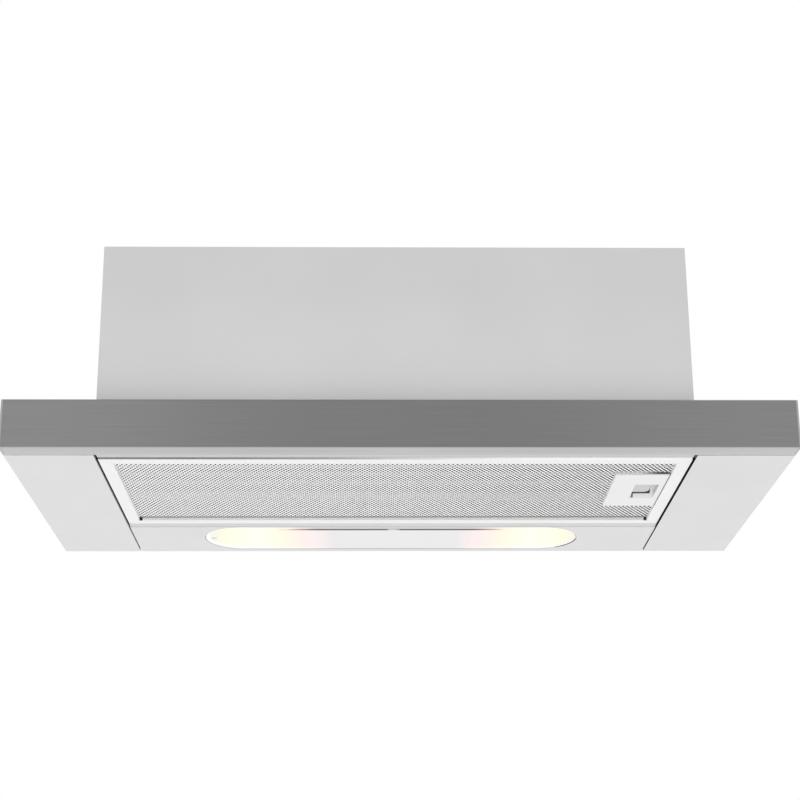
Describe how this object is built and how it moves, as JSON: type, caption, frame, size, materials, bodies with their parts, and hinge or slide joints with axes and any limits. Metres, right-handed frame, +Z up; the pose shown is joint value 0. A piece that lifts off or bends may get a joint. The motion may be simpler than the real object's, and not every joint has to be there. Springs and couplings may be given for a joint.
{
  "type": "built-in range hood",
  "caption": "Built-in range hood with a slide-out fascia carriage, tilting latched grease filter, lamp panel, centrifugal fan and top duct collar with flaps.",
  "frame": {"origin": "middle of the bounding box in plan, on the plane of the underside", "axes": "+X to the right seen from the front, along the fascia; +Y to the rear, away from the fascia; +Z up, out of the duct collar"},
  "size_m": [0.598, 0.28, 0.204],
  "materials": {
    "painted_steel": "pale grey powder coat",
    "galvanised_steel": "bare galvanised sheet",
    "fascia_steel": "stainless steel brushed lengthwise",
    "cap_plastic": "grey satin plastic",
    "screw_steel": "bright zinc plate",
    "lamp_cover_plastic": "frosted translucent plastic",
    "lamp_glass": "frosted glass",
    "white_plastic": "white satin plastic",
    "filter_paint": "white powder coat",
    "mesh_aluminium": "bare aluminium",
    "grey_plastic": "light grey moulded plastic",
    "dark_plastic": "black moulded plastic",
    "copper_winding": "enamelled copper",
    "bearing_bronze": "sintered bronze",
    "lead_rubber": "white sleeved lead",
    "plunger_plastic": "red plastic"
  },
  "bodies": {
    "hood_body": {"casing_shell": "painted_steel", "casing_top": "painted_steel", "casing_back": "galvanised_steel", "wing_left": "painted_steel", "wing_right": "painted_steel", "rear_panel": "painted_steel", "lamp_housing": "galvanised_steel", "lamp_cover": "lamp_cover_plastic", "lamp_cover_screw": "screw_steel", "lamp_bulbs": "lamp_glass", "lampholders": "white_plastic", "filter_ledges": "galvanised_steel", "inner_filter_frame": "mesh_aluminium", "inner_filter_mesh": "mesh_aluminium", "scroll_lower": "grey_plastic", "scroll_upper": "grey_plastic", "motor_can": "galvanised_steel", "motor_stator": "copper_winding", "motor_bearings": "bearing_bronze", "motor_screws": "screw_steel", "capacitor": "white_plastic", "terminal_box": "dark_plastic", "cable_gland": "dark_plastic", "wiring": "lead_rubber", "outlet_collar": "dark_plastic", "collar_screws": "screw_steel", "guide_rail_left": "galvanised_steel", "guide_rail_right": "galvanised_steel", "rail_mouth_glides": "white_plastic", "control_housing": "dark_plastic", "control_lid": "dark_plastic", "microswitch": "dark_plastic", "casing_screws": "screw_steel", "wing_screws": "screw_steel"},
    "pull_out": {"fascia": "fascia_steel", "fascia_cap_left": "cap_plastic", "fascia_cap_right": "cap_plastic", "fascia_backing": "galvanised_steel", "carriage_frame": "painted_steel", "visor_plate": "painted_steel", "slide_bar_left": "galvanised_steel", "slide_bar_right": "galvanised_steel", "bar_glides": "white_plastic", "fascia_screws": "screw_steel"},
    "grease_filter": {"filter_frame": "filter_paint", "filter_mesh_lower": "mesh_aluminium", "filter_media": "mesh_aluminium", "filter_mesh_upper": "mesh_aluminium", "filter_pins": "screw_steel", "latch_plate": "white_plastic", "latch_spring": "screw_steel"},
    "latch": {"latch_slider": "white_plastic"},
    "fan": {"impeller_wheel": "grey_plastic", "motor_shaft": "screw_steel", "motor_rotor": "screw_steel"},
    "left_flap": {"flap_left": "grey_plastic"},
    "right_flap": {"flap_right": "grey_plastic"},
    "knob": {"speed_knob": "white_plastic"},
    "rocker": {"light_rocker": "white_plastic"},
    "plunger": {"switch_plunger": "plunger_plastic"}
  },
  "joints": [
    {"name": "carriage_slide", "type": "slide", "parent": "hood_body", "child": "pull_out", "axis": [0, -1, 0], "range_m": [0, 0.15]},
    {"name": "filter_tilt", "type": "hinge", "parent": "pull_out", "child": "grease_filter", "pos_m": [-0.2214, -0.03, 0.005], "axis": [0, 1, 0], "range_deg": [0, 32]},
    {"name": "latch_slide", "type": "slide", "parent": "grease_filter", "child": "latch", "axis": [-1, 0, 0], "range_m": [0, 0.005], "stiffness_N_per_m": 600, "springref_m": -0.005, "deforming": ["latch_spring"]},
    {"name": "fan_spin", "type": "hinge", "parent": "hood_body", "child": "fan", "pos_m": [-0.1374, -0.005, 0.132], "axis": [0, 0, 1], "continuous": true},
    {"name": "left_flap_swing", "type": "hinge", "parent": "hood_body", "child": "left_flap", "pos_m": [-0.0064, 0.029, 0.1778], "axis": [0, 1, 0], "range_deg": [0, 80]},
    {"name": "right_flap_swing", "type": "hinge", "parent": "hood_body", "child": "right_flap", "pos_m": [-0.0004, 0.029, 0.1778], "axis": [0, -1, 0], "range_deg": [0, 80]},
    {"name": "speed_slide", "type": "slide", "parent": "hood_body", "child": "knob", "axis": [1, 0, 0], "range_m": [0, 0.0195]},
    {"name": "light_rock", "type": "hinge", "parent": "hood_body", "child": "rocker", "pos_m": [0.2819, -0.109, 0.0145], "axis": [1, 0, 0], "range_deg": [0, 16]},
    {"name": "switch_press", "type": "slide", "parent": "hood_body", "child": "plunger", "axis": [0, 1, 0], "range_m": [0, 0.002], "stiffness_N_per_m": 500, "springref_m": -0.002}
  ]
}
